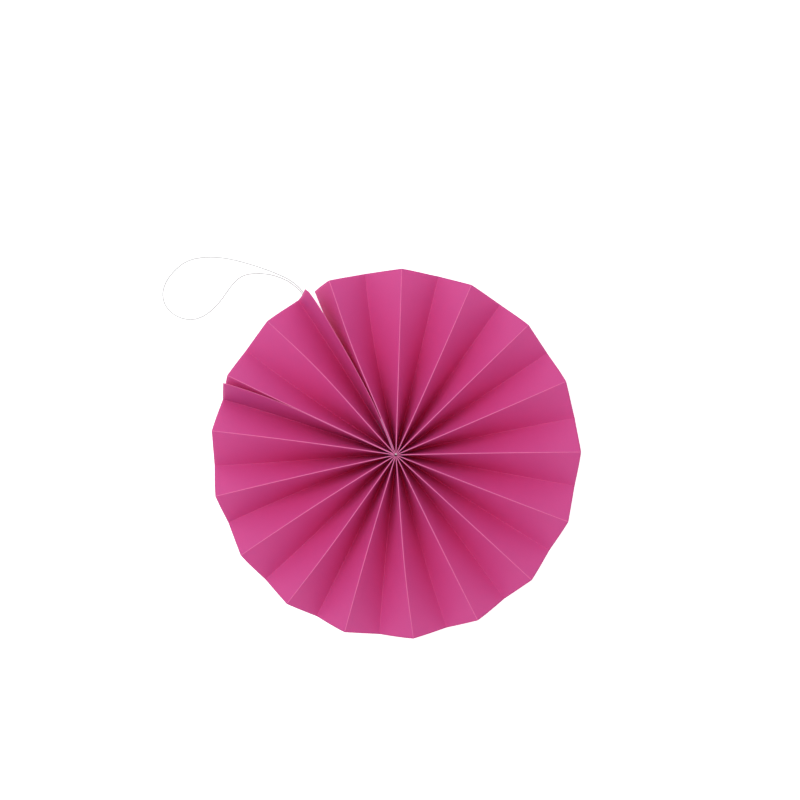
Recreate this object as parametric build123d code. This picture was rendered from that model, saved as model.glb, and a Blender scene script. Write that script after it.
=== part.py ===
from build123d import *
import math
import os

# Paper fan rosette: two pleated paper strips closed into a ring, lying on its back.
# Millimetres and degrees. +Z is up, the hub's axis is Z and the surface it lies on is Z = 0.
# Bearings are counter-clockwise from +X.

# The ring
FAN_RADIUS = 100.0  # hub axis to the ridge tips
VALLEY_INSET = 0.4  # how far the valley ends lie inside the ridge tips
HUB_RADIUS = 1.2  # hub axis to the strips' inner edges
RIM_HEIGHT = 12.0  # height of the level ridges at the rim
PAPER = 0.1  # thickness of the paper
LIFT_SHARE = 0.5  # share of a wide pleat's slack that lifts its valley, the rest bows its panels

# Each ridge, clockwise from the closure: its bearing at the rim and at the hub, and how far
# its tip stands above the level ridges. The pleats are closed by hand, so no two are alike.
RIDGES = [
    (111.0, 110.6, 5.0),
    (88.2, 88.2, 2.5),
    (66.0, 65.4, 1.5),
    (44.3, 45.0, 0.5),
    (23.2, 23.0, 0.0),
    (0.7, 1.5, 0.0),
    (-21.4, -21.6, 0.0),
    (-42.8, -42.5, 0.0),
    (-63.8, -64.2, 0.0),
    (-84.6, -85.4, 0.0),
    (-106.1, -107.2, 0.0),
    (-126.1, -125.6, 0.0),
    (-146.9, -148.7, 0.0),
    (-166.9, -168.1, 0.5),
    (-187.3, -188.7, 1.5),
    (-205.2, -204.6, 4.0),
    (-226.0, -227.2, 0.0),
]
LONG_STRIP_RIDGES = 15  # the first ones, and the short strip has the rest

# The closure, where the short strip's end panel stands against the long strip's
TAPE = 0.5  # thickness of the double-sided tape between the two panels
TAPE_START = 3.0  # hub axis to the tape's inner end
TAPE_END = 21.0  # hub axis to the tape's outer end
TAPE_MARGIN = 0.01  # share of the panels' width that the tape leaves bare along each edge
CLOSURE_HELD = 28.0  # radius out to which the two panels stay together
CLOSURE_MOUTH_TOP = 7.6  # angle by which the upper edges part at the rim
CLOSURE_MOUTH_FOOT = 5.5  # angle by which the lower edges part at the rim
CLOSURE_LEAN = -3.8  # swing of the closure's valley at the rim from halfway

# The lap, where the long strip's last panel lies on the short strip's
LAP_HELD = 50.0
LAP_MOUTH_TOP = 2.7
LAP_MOUTH_FOOT = 0.9
LAP_LEAN = -2.3

EDGE_DROOP = 0.08  # share of its height that a free upper edge loses at the rim
FIT = 0.03  # gap on each side of a stuck face

# The hub's tie thread, through a hole in every panel
THREAD = 0.4
TIE_RADIUS = 4.5  # hub axis to the thread's centre line
TIE_HEIGHT = 10.5
PUNCH = 0.7  # diameter of the holes for the thread

# The hanging cord, knotted and stuck under the end panel's outer corner
CORD = 0.7
KNOT = 2.4  # diameter of the knot
DOT = 5.0  # diameter of the glue dot that holds the knot to the panel
DOT_THICKNESS = 0.3
DOT_REACH = 0.955  # share of the panel's length from the hub out to the dot
DOT_DROP = 0.6  # share of the panel's width from its free edge down to the dot
KNOT_SINK = 0.2  # how deep the knot lies in the dot

# The cord's route: from the knot out under the panel's rim and down to the surface, round
# the loop, and back beside itself to the knot
CORD_LIE = 0.36  # height of the cord's centre line where it lies on the surface
CORD_POINTS = [
    (-47.6, 83.2, 8.6),
    (-49.6, 86.3, 5.0),
    (-52.0, 89.9, 1.6),
    (-55.6, 93.2, 0.5),
    (-59.3, 95.9, CORD_LIE),
    (-64.3, 98.2, CORD_LIE),
    (-69.7, 100.4, CORD_LIE),
    (-79.6, 103.8, CORD_LIE),
    (-91.2, 106.9, CORD_LIE),
    (-99.8, 107.9, CORD_LIE),
    (-109.6, 107.5, CORD_LIE),
    (-116.8, 104.8, CORD_LIE),
    (-122.1, 100.2, CORD_LIE),
    (-126.4, 94.7, CORD_LIE),
    (-128.4, 88.7, CORD_LIE),
    (-127.9, 83.7, CORD_LIE),
    (-125.9, 79.7, CORD_LIE),
    (-120.9, 75.2, CORD_LIE),
    (-113.0, 73.0, CORD_LIE),
    (-105.7, 75.2, CORD_LIE),
    (-100.1, 79.6, CORD_LIE),
    (-95.8, 84.6, CORD_LIE),
    (-92.4, 89.5, CORD_LIE),
    (-89.0, 94.1, CORD_LIE),
    (-84.8, 97.4, CORD_LIE),
    (-80.8, 98.6, CORD_LIE),
    (-75.4, 99.0, CORD_LIE),
    (-67.7, 98.1, CORD_LIE),
    (-60.0, 95.1, CORD_LIE),
    (-56.4, 92.5, 0.5),
    (-52.7, 89.3, 1.6),
    (-50.3, 85.8, 5.0),
    (-48.3, 82.7, 8.6),
]
BEND_SHARE = 0.45  # share of the shorter run that an arc takes up

# Stations along the pleats, as shares of their length
STATIONS = [0.0, 0.018, 0.05, 0.1, 0.15, 0.2, 0.3, 0.4, 0.5, 0.6, 0.7, 0.8, 0.9, 1.0]

NARROWEST = min(a[0] - b[0] for a, b in zip(RIDGES, RIDGES[1:LONG_STRIP_RIDGES]))


def chord(radius, spread):
    """Straight distance across an angle at a radius."""
    return 2 * radius * math.sin(math.radians(abs(spread)) / 2)


PLEAT_DEPTH = math.hypot(chord(FAN_RADIUS, NARROWEST / 2), RIM_HEIGHT)


def rise(radius, spread):
    """Height that a panel of the full pleat depth reaches over its spread at a radius."""
    return math.sqrt(PLEAT_DEPTH**2 - chord(radius, spread) ** 2)


def radius_at(share, rim=FAN_RADIUS):
    """Distance from the hub's axis at a share of the pleats' length."""
    return HUB_RADIUS + (rim - HUB_RADIUS) * share


def ridge(number, share):
    """Bearing and height of a ridge at a share of its length."""
    rim, hub, lift = RIDGES[number]
    level = rise(radius_at(share), NARROWEST / 2)
    return hub + (rim - hub) * share, level + lift * share**2


def valley(before, after, share):
    """Bearing and height of the valley midway between two ridges."""
    bearing = (before[0] + after[0]) / 2
    slack = (before[1] + after[1]) / 2 - rise(radius_at(share), before[0] - bearing)
    return bearing, max(0.0, LIFT_SHARE * slack)


def seam(upper, neighbour, share, gap, held, mouth_top, mouth_foot, lean):
    """Lines of a doubled panel: its free upper edge, its valley and its free lower edge.

    One panel hangs from the ridge `upper` to the free lower edge. The other starts at the
    free upper edge, beside that ridge, and ends in the valley before the ridge `neighbour`.
    They are a gap apart out to the radius `held`, and from there part as a parabola.
    """
    radius = radius_at(share)
    opened = (max(0.0, radius - held) / (FAN_RADIUS - held)) ** 2
    parting = opened * FAN_RADIUS / radius
    apart = math.degrees(max(PAPER + 2 * FIT, gap * min(1.0, radius / TAPE_START)) / radius)
    edge = upper[0] + apart + mouth_top * parting
    low = (edge + neighbour[0]) / 2 + lean * share
    low_height = max(0.0, LIFT_SHARE * (neighbour[1] - rise(radius, neighbour[0] - low)))
    edge_height = low_height + rise(radius, low - edge) * (1 - EDGE_DROOP * opened)
    foot = low - apart - mouth_foot * parting
    foot_height = max(0.0, upper[1] - rise(radius, foot - upper[0]))
    return (edge, edge_height), (low, low_height), (foot, foot_height)


def closure(share):
    """The closure's three lines at a share of the pleats' length."""
    bearing, height = ridge(0, share)
    gap = PAPER + TAPE + 2 * FIT
    return seam(
        (bearing - 360, height), ridge(len(RIDGES) - 1, share), share,
        gap, CLOSURE_HELD, CLOSURE_MOUTH_TOP, CLOSURE_MOUTH_FOOT, CLOSURE_LEAN,
    )


def lap(share):
    """The lap's three lines at a share of the pleats' length."""
    upper = ridge(LONG_STRIP_RIDGES, share)
    neighbour = ridge(LONG_STRIP_RIDGES - 1, share)
    gap = PAPER + 2 * FIT
    return seam(upper, neighbour, share, gap, LAP_HELD, LAP_MOUTH_TOP, LAP_MOUTH_FOOT, LAP_LEAN)


def zigzag(numbers, share):
    """Ridges and the valleys between them, as bearing, height and whether the line is low."""
    tops = [ridge(number, share) for number in numbers]
    lines = [(*tops[0], False)]
    for before, after in zip(tops, tops[1:]):
        lines.append((*valley(before, after, share), True))
        lines.append((*after, False))
    return lines


def long_strip_lines(share):
    """Every edge and fold of the long strip at one station, clockwise from the closure."""
    (_, _, foot), (edge, low, _) = closure(share), lap(share)
    folds = zigzag(range(LONG_STRIP_RIDGES), share)
    return [(foot[0] + 360, foot[1], True)] + folds + [(*low, True), (*edge, False)]


def short_strip_lines(share):
    """Every edge and fold of the short strip at one station, clockwise from the lap."""
    (_, _, foot), (edge, low, _) = lap(share), closure(share)
    folds = zigzag(range(LONG_STRIP_RIDGES, len(RIDGES)), share)
    return [(*foot, True)] + folds + [(*low, True), (*edge, False)]


def tape_lines(share):
    """Lower and upper edge of the tape at one station, midway between the two end panels."""
    edge, low, foot = closure(share)
    ridge_bearing, ridge_height = ridge(0, share)
    top = ((edge[0] + ridge_bearing - 360) / 2, min(edge[1], ridge_height))
    bottom = ((low[0] + foot[0]) / 2, max(low[1], foot[1]))
    step = [(b - a) * TAPE_MARGIN for a, b in zip(top, bottom)]
    upper = (top[0] + step[0], top[1] + step[1], False)
    lower = (bottom[0] - step[0], bottom[1] - step[1], False)
    return [lower, upper]


def thick_section(lines, share, thickness):
    """Cross-section of a folded sheet at one station, as a (left, right) pair for each line.

    A line's left and right are each a list of two points, the end of the panel before it and
    the start of the panel after it. Inside a fold the two are one mitred point, and outside
    it they differ, so a fold has a small flat along its outside.
    """
    radius = radius_at(share)
    flat = [Vector(math.radians(bearing) * radius, height) for bearing, height, _ in lines]
    normals = []
    for start, end in zip(flat, flat[1:]):
        along = (end - start).normalized()
        normals.append(Vector(-along.Y, along.X) * (thickness / 2))
    section = []
    for index, point in enumerate(flat):
        before = normals[max(index - 1, 0)]
        after = normals[min(index, len(normals) - 1)]
        bisector = before + after
        mitre = bisector * (before.dot(before) / bisector.dot(before))
        left = [point + before, point + after]
        right = [point - before, point - after]
        if before.X * after.Y - before.Y * after.X > 0:
            left = [point + mitre] * 2
        else:
            right = [point - mitre] * 2
        reach = radius_at(share, FAN_RADIUS - VALLEY_INSET) if lines[index][2] else radius
        section.append([[place(p, radius, reach) for p in side] for side in (left, right)])
    return section


def place(point, radius, reach):
    """Roll a point of the flat section round the hub's axis, and stand the paper on Z = 0."""
    turn = point.X / radius
    return Vector(reach * math.cos(turn), reach * math.sin(turn), point.Y + PAPER / 2)


def folded_sheet(lines_at, shares, thickness):
    """A folded sheet as its panels, each a closed solid that meets the next face to face at the fold."""
    sections = [thick_section(lines_at(share), share, thickness) for share in shares]
    return [panel(sections, index) for index in range(len(sections[0]) - 1)]


def panel(sections, index):
    """One panel of flat triangles: the fold's flat that it starts from, and on to the next fold."""
    starts = [section[index] for section in sections]
    ends = [[side[0] for side in section[index + 1]] for section in sections]
    quads = []
    for start, start_on, end, end_on in zip(starts, starts[1:], ends, ends[1:]):
        for side in (0, 1):
            quads.append([start[side][0], start_on[side][0], start_on[side][1], start[side][1]])
            quads.append([start[side][1], start_on[side][1], end_on[side], end[side]])
        quads.append([start[0][0], start_on[0][0], start_on[1][0], start[1][0]])
        quads.append([end[0], end_on[0], end_on[1], end[1]])
    for start, end in ((starts[0], ends[0]), (starts[-1], ends[-1])):
        quads.append([start[0][0], start[0][1], start[1][1], start[1][0]])
        quads.append([start[0][1], end[0], end[1], start[1][1]])
    faces = [face for quad in quads for face in triangles(quad)]
    solid = Solid(Shell(faces))
    return solid if solid.volume > 0 else Solid(Shell([-face for face in faces]))


def triangles(quad):
    """The one or two flat triangles of a quad that may have two corners in one place."""
    faces = []
    for corners in (quad[:3], [quad[0], quad[2], quad[3]]):
        sides = zip(corners, corners[1:] + corners[:1])
        if all((end - start).length > 1e-6 for start, end in sides):
            faces.append(Face(Wire.make_polygon(corners, close=True)))
    return faces


def ring(wire):
    """A ring of thread round the hub's axis at the tie's radius and height."""
    return Pos(0, 0, TIE_HEIGHT) * Torus(TIE_RADIUS, wire / 2)


def punched(panels):
    """A sheet's panels with the holes for the tie's thread cut through them, as one piece."""
    return Compound(children=[piece - ring(PUNCH) for piece in panels])


def end_panel_point(share, drop):
    """A point in the middle of the short strip's end panel, `drop` of its width down from the edge."""
    edge, low, _ = closure(share)
    bearing = edge[0] + (low[0] - edge[0]) * drop
    height = edge[1] + (low[1] - edge[1]) * drop
    radius = radius_at(share)
    return place(Vector(math.radians(bearing) * radius, height), radius, radius)


def dot_and_knot():
    """The glue dot on the end panel's hidden face, and the knot that is sunk into it."""
    step = 0.01
    centre = end_panel_point(DOT_REACH, DOT_DROP)
    outward = end_panel_point(DOT_REACH + step, DOT_DROP) - centre
    downward = end_panel_point(DOT_REACH, DOT_DROP + step) - centre
    away = downward.cross(outward).normalized()
    seat = centre + away * (PAPER / 2 + FIT)
    disc = Plane(origin=seat, x_dir=outward, z_dir=away) * Cylinder(
        DOT / 2, DOT_THICKNESS, align=(Align.CENTER, Align.CENTER, Align.MIN)
    )
    middle = seat + away * (DOT_THICKNESS - KNOT_SINK + KNOT / 2)
    knot = Pos(*middle) * Sphere(KNOT / 2)
    return disc - knot, knot


def cord_route():
    """The cord's centre line, straight runs joined by arcs as large as the runs allow."""
    points = [Vector(*point) for point in CORD_POINTS]
    runs = [end - start for start, end in zip(points, points[1:])]
    radii = []
    for before, after in zip(runs, runs[1:]):
        half_turn = math.radians(before.get_angle(after)) / 2
        radii.append(BEND_SHARE * min(before.length, after.length) / math.tan(half_turn))
    print("cord radii", [round(radius, 1) for radius in radii])
    return FilletPolyline(*points, radius=radii)


def cord_tube(knot):
    """The cord as a plain tube, with both ends stopped at the knot."""
    route = cord_route()
    section = Plane(origin=route @ 0, z_dir=route % 0) * Circle(CORD / 2)
    tube = sweep(section, path=route)
    print("cord length", round(route.length, 1))
    print("tube volume over section times length", tube.volume / (section.area * route.length))
    return (tube - knot).solids().sort_by(SortBy.VOLUME)[-1]


def main():
    """Make every piece and write each to its own STEP file."""
    shares = STATIONS
    tape_shares = [(radius - HUB_RADIUS) / (FAN_RADIUS - HUB_RADIUS) for radius in (TAPE_START, TAPE_END)]
    tape_shares[1:1] = [share for share in shares if tape_shares[0] < share < tape_shares[-1]]
    dot, knot = dot_and_knot()
    pieces = {
        "pleated_strip_long": punched(folded_sheet(long_strip_lines, shares, PAPER)),
        "pleated_strip_short": punched(folded_sheet(short_strip_lines, shares, PAPER)),
        "closure_tape": punched(folded_sheet(tape_lines, tape_shares, TAPE)),
        "hub_tie_thread": ring(THREAD),
        "glue_dot": dot,
        "cord_knot": knot,
        "hanging_cord": cord_tube(knot),
    }
    os.makedirs("parts", exist_ok=True)
    for name, piece in pieces.items():
        export_step(piece, "parts/" + name + ".step")


main()
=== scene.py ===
import math

import bpy
import numpy as np
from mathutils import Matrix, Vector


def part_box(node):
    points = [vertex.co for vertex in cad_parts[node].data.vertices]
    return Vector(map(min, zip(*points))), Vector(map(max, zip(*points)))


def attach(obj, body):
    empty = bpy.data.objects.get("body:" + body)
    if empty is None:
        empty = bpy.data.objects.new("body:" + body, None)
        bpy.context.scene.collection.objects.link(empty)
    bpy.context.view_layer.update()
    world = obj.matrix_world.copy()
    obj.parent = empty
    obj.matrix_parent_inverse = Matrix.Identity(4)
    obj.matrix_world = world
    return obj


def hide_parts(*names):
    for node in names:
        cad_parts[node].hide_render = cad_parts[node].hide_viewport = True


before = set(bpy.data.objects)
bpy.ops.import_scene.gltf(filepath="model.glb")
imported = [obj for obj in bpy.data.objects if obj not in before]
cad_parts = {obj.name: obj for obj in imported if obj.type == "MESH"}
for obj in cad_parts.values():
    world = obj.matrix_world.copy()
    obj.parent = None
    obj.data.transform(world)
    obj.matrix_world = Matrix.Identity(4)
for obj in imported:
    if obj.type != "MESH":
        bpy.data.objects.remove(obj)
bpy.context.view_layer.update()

# Paper fan rosette. Metres, +Z up, the hub's axis is Z and the surface it lies on is Z = 0.
MM = 0.001

# ---------------------------------------------------------------- camera

CAMERA_HEIGHT = 0.66  # above the surface
CAMERA_OVER = (2.2 * MM, 29.3 * MM)  # the point straight below the lens
LENS = 54.0

camera_data = bpy.data.cameras.new("camera")
camera_data.lens = LENS
camera_data.sensor_width = 36.0
camera = bpy.data.objects.new("camera", camera_data)
camera.location = (*CAMERA_OVER, CAMERA_HEIGHT)
bpy.context.scene.collection.objects.link(camera)
bpy.context.scene.camera = camera
bpy.context.scene.view_settings.view_transform = "Standard"

# ---------------------------------------------------------------- shared helpers


def linear(hex_colour):
    """An sRGB hex colour as linear red, green, blue and alpha."""
    values = [int(hex_colour[i:i + 2], 16) / 255 for i in (1, 3, 5)]
    return [v / 12.92 if v <= 0.04045 else ((v + 0.055) / 1.055) ** 2.4 for v in values] + [1.0]


def add_node(tree, kind, links=(), **settings):
    """Adds a node, sets its properties or its inputs by name, and links (input, output socket)."""
    node = tree.nodes.new(kind)
    for name, value in settings.items():
        if hasattr(node, name):
            setattr(node, name, value)
        else:
            node.inputs[name.replace("_", " ")].default_value = value
    for socket, source in links:
        tree.links.new(source, node.inputs[socket])
    return node


def new_material(name):
    """A material with only its output, and its node tree."""
    material = bpy.data.materials.new(name)
    material.use_nodes = True
    tree = material.node_tree
    tree.nodes.clear()
    return material, tree


def grid_faces(rows, columns, closed=False):
    """Quads of a grid of rows by columns, whose last column joins the first when it is closed."""
    row = np.arange(rows - 1)[:, None] * columns
    column = np.arange(columns if closed else columns - 1)[None, :]
    after = (column + 1) % columns
    quads = np.stack([row + column, row + after, row + columns + after, row + columns + column], -1)
    return quads.reshape(-1, 4)


def add_piece(name, points, faces, material, nodes=(), uv=None):
    """A mesh object from arrays of points and faces, riding on the root in place of CAD nodes."""
    mesh = bpy.data.meshes.new(name)
    mesh.from_pydata(points.reshape(-1, 3), [], faces)
    mesh.polygons.foreach_set("use_smooth", np.ones(len(faces), bool))
    if uv is not None:
        layer = mesh.uv_layers.new(name="sheet")
        layer.data.foreach_set("uv", uv.reshape(-1, 2)[faces.ravel()].ravel())
    mesh.materials.append(material)
    piece = bpy.data.objects.new(name, mesh)
    bpy.context.scene.collection.objects.link(piece)
    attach(piece, "root")
    if nodes:
        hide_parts(*nodes)
    return piece

# ---------------------------------------------------------------- sizes of the fan

# Millimetres and degrees, bearings counter-clockwise from +X, as in the CAD part.
FAN_RADIUS = 100.0
VALLEY_RADIUS = 99.6
HUB_RADIUS = 0.8
RIM_HEIGHT = 12.0
SHEET = 0.1
LIFT_SHARE = 0.5  # how much of the slack under a ridge lifts the valleys off the floor
EDGE_DROOP = 0.08  # the share of their rise that the two free edges lose as they part
LONG_STRIP_RIDGES = 15
TAPE_THICKNESS = 0.5
TAPE_RADII = (3.0, 21.0)
TAPE_DEPTH = 0.35  # how far the tape's top lies under the edges of the panels it joins
FIT = 0.03

# Where two panels meet: the gap between them, the radius that they are held out to, how many
# degrees the upper and the lower one part at the rim, and how far the valley leans.
CLOSURE = {"gap": SHEET + TAPE_THICKNESS + 2 * FIT, "held": 16.0, "mouth": (6.7, 5.5), "lean": -3.5}
LAP = {"gap": SHEET + 2 * FIT, "held": 50.0, "mouth": (2.5, 0.4), "lean": -2.3}

# Each ridge, clockwise from the closure: bearing at the rim and at the hub, how far its tip
# stands above the level ridges, how far it bows sideways half way out, and how far the valley
# after it strays from the middle at the rim and at the hub.
RIDGES = [
    (111.0, 110.6, 5.0, 1.3, 0.2, 2.2),
    (88.2, 88.2, 2.5, 0.0, -0.6, -0.4),
    (66.0, 65.4, 1.5, 0.0, -0.2, 0.0),
    (44.3, 45.0, 0.5, 0.0, -0.2, -0.6),
    (23.2, 23.0, 0.0, 0.0, -0.7, -0.6),
    (0.7, 1.5, 0.0, 0.0, 0.0, -0.3),
    (-21.4, -21.6, 0.0, 0.0, -0.2, -0.8),
    (-42.8, -42.5, 0.0, 0.0, 0.0, 0.6),
    (-63.8, -64.2, 0.0, 0.0, 0.4, -0.4),
    (-84.6, -85.4, 0.0, -0.7, 0.1, 0.4),
    (-106.1, -107.2, 0.0, 0.0, 0.2, 0.4),
    (-126.1, -125.6, 0.0, 0.5, 0.5, 2.0),
    (-146.9, -148.7, 0.0, 0.0, -0.6, -1.2),
    (-166.9, -168.1, 0.5, 0.0, 1.0, 2.6),
    (-187.3, -188.7, 1.5, 0.0, 0.0, 0.0),
    (-205.2, -204.6, 4.0, 0.0, 1.0, 4.6),
    (-226.0, -227.2, 0.0, -1.2, 0.0, 0.0),
]
NARROWEST = min(here[0] - there[0] for here, there in zip(RIDGES, RIDGES[1:LONG_STRIP_RIDGES]))


def chord(radius, spread):
    """Straight distance between two points of one radius, `spread` degrees apart."""
    return 2 * radius * np.sin(np.radians(np.abs(spread)) / 2)


PANEL_WIDTH = math.hypot(chord(FAN_RADIUS, NARROWEST / 2), RIM_HEIGHT)

# ---------------------------------------------------------------- materials

PINK = "#E152A2"
PINK_DEEP = "#DB499A"
PINK_WORN_AND_HIGHLIT = "#FF90CC"  # partly the paler core where a fold has cracked the dyed fibres, partly painted highlight where the fold catches the light
PINK_RIM_SHEEN = "#D356A5"  # painted lilac sheen, paler and greyer towards the rim
PINK_THROUGH = "#F23C7C"  # light that has passed through the sheet
THROUGH_SHARE = 0.3
FOLD_WEAR_AND_HIGHLIGHT = 0.31  # millimetres each side of a fold


def coloured_paper():
    """Dyed-through craft paper: matt and softly mottled, with a fine fibre grain, paler folds that are
    partly cracked fibres and partly painted highlight, a painted lilac sheen towards the rim, and a red
    glow where light comes through the sheet."""
    material, tree = new_material("pink_craft_paper")
    uv = add_node(tree, "ShaderNodeUVMap", uv_map="sheet").outputs["UV"]
    axes = add_node(tree, "ShaderNodeSeparateXYZ", [("Vector", uv)]).outputs
    # Across the sheet in panel widths, so that valleys fall on even numbers and ridges on odd.
    across = add_node(tree, "ShaderNodeMath", [(0, axes["X"])], operation="DIVIDE")
    across.inputs[1].default_value = PANEL_WIDTH * MM
    near = add_node(tree, "ShaderNodeMath", [(0, across.outputs[0])], operation="PINGPONG")
    near.inputs[1].default_value = 1.0
    crack = add_node(tree, "ShaderNodeTexNoise", [("Vector", uv)], Scale=1 / (1.6 * MM), Detail=3.0)
    rough = add_node(tree, "ShaderNodeMath", [(0, crack.outputs[0]), (2, near.outputs[0])],
                     operation="MULTIPLY_ADD")
    rough.inputs[1].default_value = 0.006
    # Pale folds: partly cracked fibres, partly painted highlight of the light caught along each fold.
    ridge_wear_and_highlight = add_node(tree, "ShaderNodeMapRange", [("Value", rough.outputs[0])],
                          interpolation_type="SMOOTHSTEP")
    ridge_wear_and_highlight.inputs["From Min"].default_value = 1.003 - FOLD_WEAR_AND_HIGHLIGHT / PANEL_WIDTH
    ridge_wear_and_highlight.inputs["From Max"].default_value = 1.003
    valley_wear_and_highlight = add_node(tree, "ShaderNodeMapRange", [("Value", rough.outputs[0])],
                           interpolation_type="SMOOTHSTEP")
    valley_wear_and_highlight.inputs["From Min"].default_value = 0.003 + FOLD_WEAR_AND_HIGHLIGHT / PANEL_WIDTH
    valley_wear_and_highlight.inputs["From Max"].default_value = 0.003
    # Painted highlight: the valleys' pale line shows only towards the rim, where they are lit, and fades
    # out towards the hub, where they lie in shade.
    outer = add_node(tree, "ShaderNodeMapRange", [("Value", axes["Y"])])
    outer.inputs["From Min"].default_value = 45 * MM
    outer.inputs["From Max"].default_value = 75 * MM
    outer.inputs["To Max"].default_value = 0.3
    valley_mark_where_lit = add_node(tree, "ShaderNodeMath", [(0, valley_wear_and_highlight.outputs[0]), (1, outer.outputs[0])],
                     operation="MULTIPLY")
    fold = add_node(tree, "ShaderNodeMath", [(0, ridge_wear_and_highlight.outputs[0]), (1, valley_mark_where_lit.outputs[0])],
                    operation="MAXIMUM")
    mottle = add_node(tree, "ShaderNodeTexNoise", [("Vector", uv)], Scale=1 / (14 * MM), Detail=4.0)
    tone = add_node(tree, "ShaderNodeMix", [("Factor", mottle.outputs[0])], data_type="RGBA")
    tone.inputs["A"].default_value = linear(PINK_DEEP)
    tone.inputs["B"].default_value = linear(PINK)
    # Painted sheen: the paper turns lilac and greyer from 55 mm out to the rim.
    rim = add_node(tree, "ShaderNodeMapRange", [("Value", axes["Y"])])
    rim.inputs["From Min"].default_value = 55 * MM
    rim.inputs["From Max"].default_value = 105 * MM
    with_rim_sheen = add_node(tree, "ShaderNodeMix", [("Factor", rim.outputs[0]), ("A", tone.outputs["Result"])],
                     data_type="RGBA")
    with_rim_sheen.inputs["B"].default_value = linear(PINK_RIM_SHEEN)
    worn_and_highlit = add_node(tree, "ShaderNodeMix", [("Factor", fold.outputs[0]), ("A", with_rim_sheen.outputs["Result"])],
                    data_type="RGBA")
    worn_and_highlit.inputs["B"].default_value = linear(PINK_WORN_AND_HIGHLIT)
    fibre = add_node(tree, "ShaderNodeTexNoise", [("Vector", uv)], Scale=1 / (0.35 * MM), Detail=5.0,
                     Roughness=0.65)
    bump = add_node(tree, "ShaderNodeBump", [("Height", fibre.outputs[0])], Strength=0.12,
                    Distance=0.02 * MM)
    shader = add_node(
        tree, "ShaderNodeBsdfPrincipled",
        [("Base Color", worn_and_highlit.outputs["Result"]), ("Normal", bump.outputs[0])],
        Roughness=0.62, IOR=1.45,
    )
    through = add_node(tree, "ShaderNodeBsdfTranslucent", Color=linear(PINK_THROUGH))
    both = add_node(tree, "ShaderNodeMixShader", [(1, shader.outputs[0]), (2, through.outputs[0])])
    both.inputs[0].default_value = THROUGH_SHARE
    add_node(tree, "ShaderNodeOutputMaterial", [("Surface", both.outputs[0])])
    return material


def cotton_thread(name, shade, tint):
    """Twisted cotton: dull, between two tones, with fine fibres along the plies."""
    material, tree = new_material(name)
    place = add_node(tree, "ShaderNodeTexCoord").outputs["Object"]
    lint = add_node(tree, "ShaderNodeTexNoise", [("Vector", place)], Scale=1 / (0.15 * MM), Detail=3.0)
    tone = add_node(tree, "ShaderNodeMix", [("Factor", lint.outputs[0])], data_type="RGBA")
    tone.inputs["A"].default_value = linear(shade)
    tone.inputs["B"].default_value = linear(tint)
    bump = add_node(tree, "ShaderNodeBump", [("Height", lint.outputs[0])], Strength=0.3, Distance=0.02 * MM)
    shader = add_node(tree, "ShaderNodeBsdfPrincipled",
                      [("Base Color", tone.outputs["Result"]), ("Normal", bump.outputs[0])],
                      Roughness=0.85, Sheen_Weight=0.3)
    add_node(tree, "ShaderNodeOutputMaterial", [("Surface", shader.outputs[0])])
    return material


def tape_paper():
    """Double-sided tape seen on its edge: white tissue, coloured lilac by painted reflection of the pink
    paper round it and darkened by painted shade.
    """
    material, tree = new_material("white_tape_painted_pink_shade")
    place = add_node(tree, "ShaderNodeTexCoord").outputs["Object"]
    layers = add_node(tree, "ShaderNodeTexNoise", [("Vector", place)], Scale=1 / (0.5 * MM), Detail=2.0)
    # Painted pink reflection and painted shade: two dark lilac tones in place of white.
    tone = add_node(tree, "ShaderNodeMix", [("Factor", layers.outputs[0])], data_type="RGBA")
    tone.inputs["A"].default_value = linear("#C07FB2")
    tone.inputs["B"].default_value = linear("#D9A3CC")
    shader = add_node(tree, "ShaderNodeBsdfPrincipled", [("Base Color", tone.outputs["Result"])],
                      Roughness=0.6)
    add_node(tree, "ShaderNodeOutputMaterial", [("Surface", shader.outputs[0])])
    return material


def set_glue():
    """A set dot of hot glue: milky, with a soft shine."""
    material, tree = new_material("set_hot_glue")
    place = add_node(tree, "ShaderNodeTexCoord").outputs["Object"]
    cloud = add_node(tree, "ShaderNodeTexNoise", [("Vector", place)], Scale=1 / (1.5 * MM))
    tone = add_node(tree, "ShaderNodeMix", [("Factor", cloud.outputs[0])], data_type="RGBA")
    tone.inputs["A"].default_value = linear("#CFC6BC")
    tone.inputs["B"].default_value = linear("#E4DED6")
    shader = add_node(tree, "ShaderNodeBsdfPrincipled", [("Base Color", tone.outputs["Result"])],
                      Roughness=0.3, Subsurface_Weight=0.2, Subsurface_Scale=1.0 * MM)
    add_node(tree, "ShaderNodeOutputMaterial", [("Surface", shader.outputs[0])])
    return material


PAPER = coloured_paper()
THREAD = cotton_thread("bleached_cotton_thread", "#C8C8CA", "#D8D8D8")
TIE = cotton_thread("dyed_cotton_thread", "#8E1F50", "#A82C64")
TAPE = tape_paper()
GLUE = set_glue()

# ---------------------------------------------------------------- hanging cord

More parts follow.
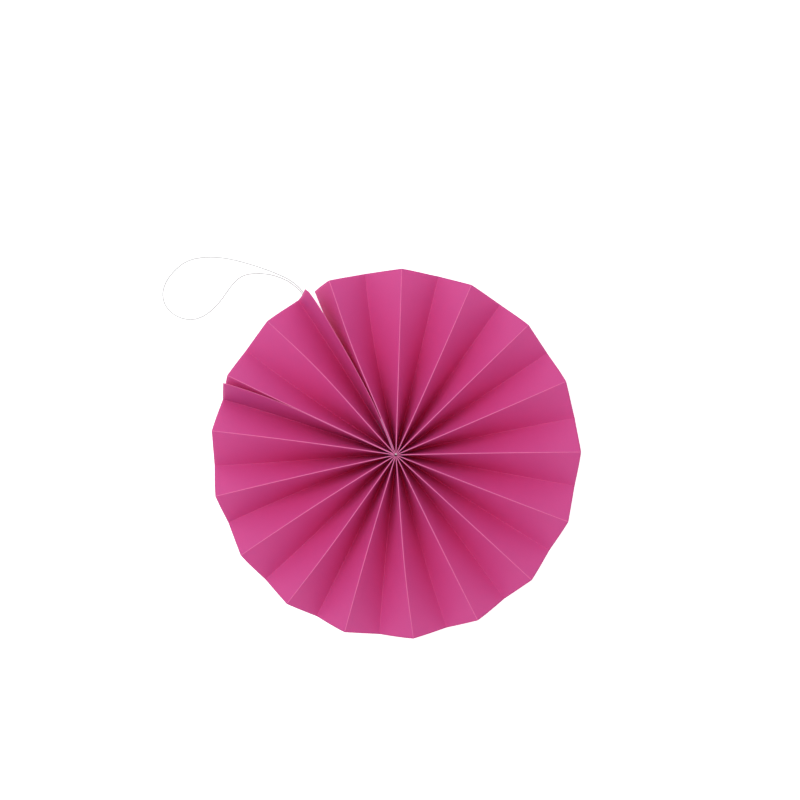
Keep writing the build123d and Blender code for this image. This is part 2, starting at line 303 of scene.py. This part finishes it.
CORD_DIAMETER = 0.7 * MM
CORD_LIE = 0.36
CORD_POINTS = [
    (-47.6, 83.2, 8.6),
    (-49.6, 86.3, 5.0),
    (-52.0, 89.9, 1.6),
    (-55.6, 93.2, 0.5),
    (-59.3, 95.9, CORD_LIE),
    (-64.3, 98.2, CORD_LIE),
    (-69.7, 100.4, CORD_LIE),
    (-79.6, 103.8, CORD_LIE),
    (-91.2, 106.9, CORD_LIE),
    (-99.8, 107.9, CORD_LIE),
    (-109.6, 107.5, CORD_LIE),
    (-116.8, 104.8, CORD_LIE),
    (-122.1, 100.2, CORD_LIE),
    (-126.4, 94.7, CORD_LIE),
    (-128.4, 88.7, CORD_LIE),
    (-127.9, 83.7, CORD_LIE),
    (-125.9, 79.7, CORD_LIE),
    (-120.9, 75.2, CORD_LIE),
    (-113.0, 73.0, CORD_LIE),
    (-105.7, 75.2, CORD_LIE),
    (-100.1, 79.6, CORD_LIE),
    (-95.8, 84.6, CORD_LIE),
    (-92.4, 89.5, CORD_LIE),
    (-89.0, 94.1, CORD_LIE),
    (-84.8, 97.4, CORD_LIE),
    (-80.8, 98.6, CORD_LIE),
    (-75.4, 99.0, CORD_LIE),
    (-67.7, 98.1, CORD_LIE),
    (-60.0, 95.1, CORD_LIE),
    (-56.4, 92.5, 0.5),
    (-52.7, 89.3, 1.6),
    (-50.3, 85.8, 5.0),
    (-48.3, 82.7, 8.6),
]
PLIES = 3
PLY_RADIUS = 0.235 * MM
TWIST_PITCH = 2.2 * MM


def cord_route():
    """The cord's centre line, points along a NURBS spline through its control points."""
    curve = bpy.data.curves.new("cord_route", "CURVE")
    curve.dimensions = "3D"
    spline = curve.splines.new("NURBS")
    spline.points.add(len(CORD_POINTS) - 1)
    for point, (x, y, z) in zip(spline.points, CORD_POINTS):
        point.co = (x * MM, y * MM, z * MM, 1)
    spline.order_u = 3
    spline.use_endpoint_u = True
    spline.resolution_u = 40
    route = bpy.data.objects.new("cord_route", curve)
    bpy.context.scene.collection.objects.link(route)
    bpy.context.view_layer.update()
    mesh = bpy.data.meshes.new_from_object(route)
    points = np.empty(len(mesh.vertices) * 3)
    mesh.vertices.foreach_get("co", points)
    bpy.data.objects.remove(route)
    return points.reshape(-1, 3)


def along(points, closed=False):
    """Unit tangents of a line of points."""
    steps = np.roll(points, -1, 0) - np.roll(points, 1, 0) if closed else np.gradient(points, axis=0)
    return steps / np.linalg.norm(steps, axis=1)[:, None]


def tube(points, radius, sides=8, closed=False):
    """A round tube: at each point, a circle in the plane across the line's tangent."""
    tangent = along(points, closed)
    side = np.cross(tangent, [0.13, 0.07, 0.99])
    side /= np.linalg.norm(side, axis=1)[:, None]
    up = np.cross(tangent, side)
    angle = np.arange(sides) * 2 * math.pi / sides
    ring = np.cos(angle)[None, :, None] * side[:, None] + np.sin(angle)[None, :, None] * up[:, None]
    return points[:, None] + radius * ring


def capped(rows, sides):
    """Faces of a tube of rings with a fan of triangles over each end, as lists."""
    faces = grid_faces(rows, sides, closed=True).tolist()
    last = (rows - 1) * sides
    return faces + [list(range(sides))[::-1], list(range(last, last + sides))]


def twisted_cord(route):
    """Three plies wound round the route: each is a tube whose line is the route plus
    a circle of the ply's offset, turned once in every pitch."""
    steps = np.linalg.norm(np.diff(route, axis=0), axis=1)
    length = np.concatenate([[0], np.cumsum(steps)])
    even = np.arange(0, length[-1], 0.2 * MM)
    line = np.stack([np.interp(even, length, route[:, i]) for i in range(3)], 1)
    tangent = along(line)
    side = np.cross(tangent, [0.0, 0.0, 1.0])
    side /= np.linalg.norm(side, axis=1)[:, None]
    up = np.cross(side, tangent)
    offset = CORD_DIAMETER / 2 - PLY_RADIUS
    points, faces, count = [], [], 0
    for ply in range(PLIES):
        turn = 2 * math.pi * (even / TWIST_PITCH + ply / PLIES)
        centre = line + offset * (np.cos(turn)[:, None] * side + np.sin(turn)[:, None] * up)
        rings = tube(centre, PLY_RADIUS, 7)
        points.append(rings.reshape(-1, 3))
        faces += [[corner + count for corner in face] for face in capped(len(even), 7)]
        count += rings.size // 3
    piece = add_piece("hanging_thread", np.concatenate(points), faces, THREAD,
                      ["hanging_cord"])
    return piece, float(length[-1])


def thread_knot():
    """The knot that joins the cord's ends: a trefoil, sin t + 2 sin 2t and cos t - 2 cos 2t
    across and -sin 3t up, drawn tight to the CAD knot's size."""
    low, high = (np.array(corner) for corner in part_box("cord_knot"))
    centre, reach = (low + high) / 2 - [0, 0, 0.5 * MM], (high - low).min() / 2 - CORD_DIAMETER / 2
    t = np.arange(96) * 2 * math.pi / 96
    line = np.stack([np.sin(t) + 2 * np.sin(2 * t), np.cos(t) - 2 * np.cos(2 * t), -1.6 * np.sin(3 * t)], 1)
    rings = tube(centre + line / 3 * reach, CORD_DIAMETER * 0.46, 8, closed=True)
    rings = np.concatenate([rings, rings[:1]])
    return add_piece("thread_knot", rings, grid_faces(len(rings), 8, closed=True), THREAD,
                     ["cord_knot"])


route = cord_route()
cord, cord_length = twisted_cord(route)
knot = thread_knot()

# ---------------------------------------------------------------- pleated strips

def rise(radius, spread):
    """Height of a panel whose two folds lie `spread` degrees apart at this radius."""
    return np.sqrt(np.maximum(PANEL_WIDTH ** 2 - chord(radius, spread) ** 2, 0))


def radius_at(share, rim=FAN_RADIUS):
    """Distance from the hub's axis at a share of the way out to the rim."""
    return HUB_RADIUS + (rim - HUB_RADIUS) * share


def ridge(number, share):
    """Bearing and height of a ridge: level round the hub, its tip lifted by share squared."""
    rim, hub, lift, bow = RIDGES[number][:4]
    bearing = hub + (rim - hub) * share + bow * np.sin(math.pi * share) ** 1.5
    return bearing, rise(radius_at(share), NARROWEST / 2) + lift * share ** 2


def valley(number, share):
    """The valley after a ridge: its stray from midway is quick to come in from the rim, and it
    lies as low as the panels' width and half their slack let it."""
    before, after = ridge(number, share), ridge(number + 1, share)
    at_rim, at_hub = RIDGES[number][4:]
    bearing = (before[0] + after[0]) / 2 + at_hub + (at_rim - at_hub) * share ** 1.5
    widest = np.maximum(before[0] - bearing, bearing - after[0])
    slack = (before[1] + after[1]) / 2 - rise(radius_at(share), widest)
    return bearing, np.maximum(LIFT_SHARE * slack, 0)


def seam(upper, neighbour, share, gap, held, mouth, lean):
    """Where one strip ends over the other: the free edge, its own valley, and the other's foot.
    The two part by a power of the way from where they are held out to the rim."""
    radius = radius_at(share)
    opened = (np.maximum(radius - held, 0) / (FAN_RADIUS - held)) ** 2
    parting = opened * FAN_RADIUS / radius
    narrowed = gap * np.minimum(1, radius / TAPE_RADII[0])
    apart = np.degrees(np.maximum(SHEET + 2 * FIT, narrowed) / radius)
    edge = upper[0] + apart + mouth[0] * parting
    low = (edge + neighbour[0]) / 2 + lean * share
    low_height = np.maximum(LIFT_SHARE * (neighbour[1] - rise(radius, neighbour[0] - low)), 0)
    edge_height = low_height + rise(radius, low - edge) * (1 - EDGE_DROOP * opened)
    foot = low - apart - mouth[1] * parting
    foot_height = np.maximum(upper[1] - rise(radius, foot - upper[0]), 0)
    return (edge, edge_height), (low, low_height), (foot, foot_height)


def closure(share):
    """The ring's closure: the short strip's last panel over the long strip's first ridge."""
    first = ridge(0, share)
    return seam((first[0] - 360, first[1]), ridge(16, share), share, **CLOSURE)


def lap(share):
    """The lap: the long strip's last panel over the short strip's first ridge."""
    return seam(ridge(15, share), ridge(14, share), share, **LAP)


def zigzag(numbers, share):
    """Ridges with the valleys between them, each as (bearing, height, is a valley)."""
    lines = []
    for number in numbers:
        lines.append((*ridge(number, share), False))
        if number != numbers[-1]:
            lines.append((*valley(number, share), True))
    return lines


def long_strip_lines(share):
    """The long strip's folds, from its foot at the closure to its free edge at the lap."""
    foot = closure(share)[2]
    lap_edge, lap_low = lap(share)[:2]
    start = (foot[0] + 360, foot[1], True)
    return [start, *zigzag(range(LONG_STRIP_RIDGES), share), (*lap_low, True), (*lap_edge, False)]


def short_strip_lines(share):
    """The short strip's folds, from its foot at the lap to its free edge at the closure."""
    edge, low = closure(share)[:2]
    lap_foot = lap(share)[2]
    return [(*lap_foot, True), *zigzag(range(LONG_STRIP_RIDGES, len(RIDGES)), share),
            (*low, True), (*edge, False)]


def tape_lines(share):
    """Lower and upper edge of the closure's tape, midway between the two panels it joins."""
    edge, low, foot = closure(share)
    first = ridge(0, share)
    top = ((edge[0] + first[0] - 360) / 2, np.minimum(edge[1], first[1]))
    bottom = ((low[0] + foot[0]) / 2, np.maximum(low[1], foot[1]) + TAPE_THICKNESS / 2)
    return [(*bottom, False), (top[0], top[1] - TAPE_DEPTH, False)]


STATIONS = np.concatenate([np.linspace(0, 0.08, 13)[:-1], np.linspace(0.08, 1, 70)])
CREASE_RADIUS = 0.18
CREASE_TAPER = 0.08  # the most that a crease's radius is, as a share of the distance from the axis
CREASE_SHARE = CREASE_RADIUS * math.radians(60) / PANEL_WIDTH
# Columns across a panel: how far round the crease it starts from, how far along the straight
# between the creases, and how far round the crease it ends in.
ROUND_IN = np.array([0, 0.25, 0.5, 0.75])
ROUND_OUT = ROUND_IN[:0:-1]
ALONG = np.array([0, 0.12, 0.26, 0.42, 0.58, 0.74, 0.88, 1.0])
FROM = np.concatenate([ROUND_IN, 1 + 0 * ALONG, 1 + 0 * ROUND_OUT])[:, None, None]
WAY = np.concatenate([0 * ROUND_IN, ALONG, 1 + 0 * ROUND_OUT])[:, None, None]
TO = np.concatenate([1 + 0 * ROUND_IN, 1 + 0 * ALONG, ROUND_OUT])[:, None, None]


def round_crease(line, toward, up, steep, amount):
    """Points round a crease from its line, an arc of sin a sideways and 1 - cos a down, up to
    where it runs on into a panel that stands `steep` radians from upright."""
    size = np.minimum(CREASE_RADIUS, CREASE_TAPER * np.linalg.norm(line[..., :2], axis=-1))[..., None]
    angle = amount * (math.pi / 2 - steep)[..., None]
    return line + size * (np.sin(angle) * toward - (1 - np.cos(angle)) * up)


def panel_surface(lines, radius, valley_radius, bow_scale=1.0, beak=0.0):
    """Points and sheet coordinates of a strip, columns across by stations out from the hub.
    Each panel is ruled straight between the rounded creases at its two folds, plus its bow of
    4 v (1 - v) along its own normal. The last panel's outer edge draws out into a beak."""
    bearing, height = (np.stack([line[i] for line in lines]) for i in (0, 1))
    reach = np.stack([valley_radius if line[2] else radius for line in lines])
    turn = np.radians(bearing)
    folds = np.stack([reach * np.cos(turn), reach * np.sin(turn), height + SHEET / 2], -1)
    up = np.array([[0, 0, -1.0 if line[2] else 1.0] for line in lines])[:, None]
    clockwise = np.stack([np.sin(turn), -np.cos(turn), 0 * turn], -1)
    run = np.radians(bearing[:-1] - bearing[1:]) * radius
    steep = np.arctan2(run, np.abs(height[:-1] - height[1:]))
    creased = np.ones(len(lines))
    creased[0] = 0  # a strip starts at a cut edge, flat on the floor
    panels = []
    for number in range(len(lines) - 1):
        after = number + 1
        start = round_crease(folds[number], clockwise[number], up[number], steep[number],
                             FROM * creased[number])
        end = round_crease(folds[after], -clockwise[after], up[after], steep[number],
                           TO * creased[after])
        points = start * (1 - WAY) + end * WAY
        normal = np.cross(np.gradient(points, axis=1), folds[after] - folds[number])
        normal /= np.linalg.norm(normal, axis=-1)[..., None]
        bow = bow_scale * soft_bow(number, radius) * 4 * (WAY * (1 - WAY))[..., 0]
        panels.append(points + bow[..., None] * normal * np.sign(normal[..., 2:]))
    drawn = beak * (radius / FAN_RADIUS) ** 12 / radius
    panels[-1][..., :2] *= (1 + beak_reach(WAY[..., 0]) * drawn)[..., None]
    last = folds[-1:].copy()
    last[..., :2] *= (1 + beak_reach(1.0) * drawn)[..., None]
    points = np.concatenate(panels + [last])
    side = (WAY * (1 - 2 * CREASE_SHARE) + (FROM + 1 - TO) * CREASE_SHARE)[:, 0, 0]
    across = np.append((np.arange(len(lines) - 1)[:, None] + side).ravel(), len(lines) - 1)
    uv = np.stack(np.broadcast_arrays(across[:, None] * PANEL_WIDTH, radius), -1)
    return points * MM, uv * MM


def beak_reach(way):
    """Millimetres by which the end panel's rim reaches out: it grows by the cube of the way
    across to just short of the free edge, whose corner is snipped back."""
    return 1.9 * way ** 3 - 3.0 * way ** 24


def soft_bow(number, radius):
    """How far a panel bows, in millimetres: nothing at the hub, and a little more in some
    panels than in others at the rim."""
    amount = 0.35 + 0.3 * math.sin(number * 2.4 + 0.7)
    return amount * (radius / FAN_RADIUS) ** 1.5


def folded_piece(name, node, lines_at, shares, thickness, material, bow_scale=1.0, beak=0.0):
    """A folded sheet in place of a CAD node: columns of points across, stations out from the
    hub, given thickness on both sides of its middle."""
    lines = [[np.broadcast_to(part, shares.shape) for part in line[:2]] + [line[2]]
             for line in lines_at(shares)]
    points, uv = panel_surface(lines, radius_at(shares), radius_at(shares, VALLEY_RADIUS), bow_scale,
                               beak)
    piece = add_piece(name, points, grid_faces(*points.shape[:2]), material, [node], uv)
    solidify = piece.modifiers.new("thickness", "SOLIDIFY")
    solidify.thickness = thickness * MM
    solidify.offset = 0
    return piece


TAPE_SHARES = (np.linspace(*TAPE_RADII, 24) - HUB_RADIUS) / (FAN_RADIUS - HUB_RADIUS)

folded_piece("long_strip_paper", "pleated_strip_long", long_strip_lines, STATIONS, SHEET, PAPER)
folded_piece("short_strip_paper", "pleated_strip_short", short_strip_lines, STATIONS, SHEET, PAPER,
             beak=1.0)
folded_piece("closure_tape_strip", "closure_tape", tape_lines, TAPE_SHARES, TAPE_THICKNESS, TAPE,
             bow_scale=0)

# ---------------------------------------------------------------- glue dot and hub tie

DOT_DIAMETER = 5.0
DOT_THICKNESS = 0.3
THREAD_THICKNESS = 0.4


def on_end_panel(line, radius):
    """Points along one long side of the short strip's end panel."""
    turn = np.radians(line[0])
    return np.stack([radius * np.cos(turn), radius * np.sin(turn), line[1] + SHEET / 2], -1)


def glue_dot():
    """A lens of set glue against the underside of the end panel, below the CAD dot's middle:
    R sin a from the panel's normal and T cos a along it, for a from 0 to 180 degrees."""
    low, high = (np.array(corner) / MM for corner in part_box("glue_dot"))
    middle = (low + high) / 2
    share = (np.linalg.norm(middle[:2]) - HUB_RADIUS) / (FAN_RADIUS - HUB_RADIUS) + np.array([-0.02, 0.02])
    edge, fold = closure(share)[:2]
    outer = on_end_panel(edge, radius_at(share))
    inner = on_end_panel(fold, radius_at(share, VALLEY_RADIUS))
    way_out = (outer + inner)[1] - (outer + inner)[0]
    way_over = (outer - inner).sum(0)
    normal = np.cross(way_over, way_out)
    normal *= np.sign(normal[2]) / np.linalg.norm(normal)
    on_panel = (outer + inner).mean(0) / 2
    middle -= ((middle - on_panel) @ normal + SHEET + DOT_THICKNESS / 2) * normal
    first = way_out / np.linalg.norm(way_out)
    second = np.cross(normal, first)
    turn = np.arange(40) * 2 * math.pi / 40
    ring = np.cos(turn)[:, None] * first + np.sin(turn)[:, None] * second
    slope = np.linspace(math.pi, 0, 14)[1:-1, None, None]
    points = middle + DOT_DIAMETER / 2 * np.sin(slope) * ring + DOT_THICKNESS / 2 * np.cos(slope) * normal
    return add_piece("set_glue_dot", points * MM, capped(12, 40), GLUE, ["glue_dot"])


def tie_thread():
    """The thread drawn through the punched panels round the hub: a tube on a level circle."""
    low, high = (np.array(corner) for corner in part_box("hub_tie_thread"))
    reach = (high - low)[0] / 2 - THREAD_THICKNESS * MM / 2
    turn = np.arange(120) * 2 * math.pi / 120
    line = (low + high) / 2 + reach * np.stack([np.cos(turn), np.sin(turn), 0 * turn], 1)
    rings = tube(line, THREAD_THICKNESS * MM / 2, 10, closed=True)
    rings = np.concatenate([rings, rings[:1]])
    return add_piece("hub_tie_ring", rings, grid_faces(len(rings), 10, closed=True), TIE,
                     ["hub_tie_thread"])


glue_dot()
tie_thread()

# ---------------------------------------------------------------- surface and light


def white_surface():
    """Matt white card, brighter than the paper that lies on it."""
    material, tree = new_material("white_card")
    shader = add_node(tree, "ShaderNodeBsdfPrincipled", Base_Color=linear("#F4F4F4"), Roughness=0.9,
                      Emission_Color=linear("#FFFFFF"), Emission_Strength=0.6)
    add_node(tree, "ShaderNodeOutputMaterial", [("Surface", shader.outputs[0])])
    return material


def add_light(name, place, size, power, colour):
    """A square soft box aimed at the hub."""
    data = bpy.data.lights.new(name, "AREA")
    data.shape = "SQUARE"
    data.size = size
    data.energy = power
    data.color = linear(colour)[:3]
    light = bpy.data.objects.new(name, data)
    light.location = place
    light.rotation_euler = (-light.location).to_track_quat("-Z", "Y").to_euler()
    bpy.context.scene.collection.objects.link(light)


half = 3.0
corners = [(-half, -half, 0), (half, -half, 0), (half, half, 0), (-half, half, 0)]
floor_mesh = bpy.data.meshes.new("floor")
floor_mesh.from_pydata(corners, [], [(0, 1, 2, 3)])
floor_mesh.materials.append(white_surface())
floor = bpy.data.objects.new("floor", floor_mesh)
bpy.context.scene.collection.objects.link(floor)

add_light("soft_box", (-0.8, 0.7, 1.6), 1.2, 12, "#FFFFFF")
world = bpy.data.worlds.new("studio")
world.use_nodes = True
sky = world.node_tree.nodes["Background"]
sky.inputs["Color"].default_value = (1, 1, 1, 1)
sky.inputs["Strength"].default_value = 0.78
bpy.context.scene.world = world
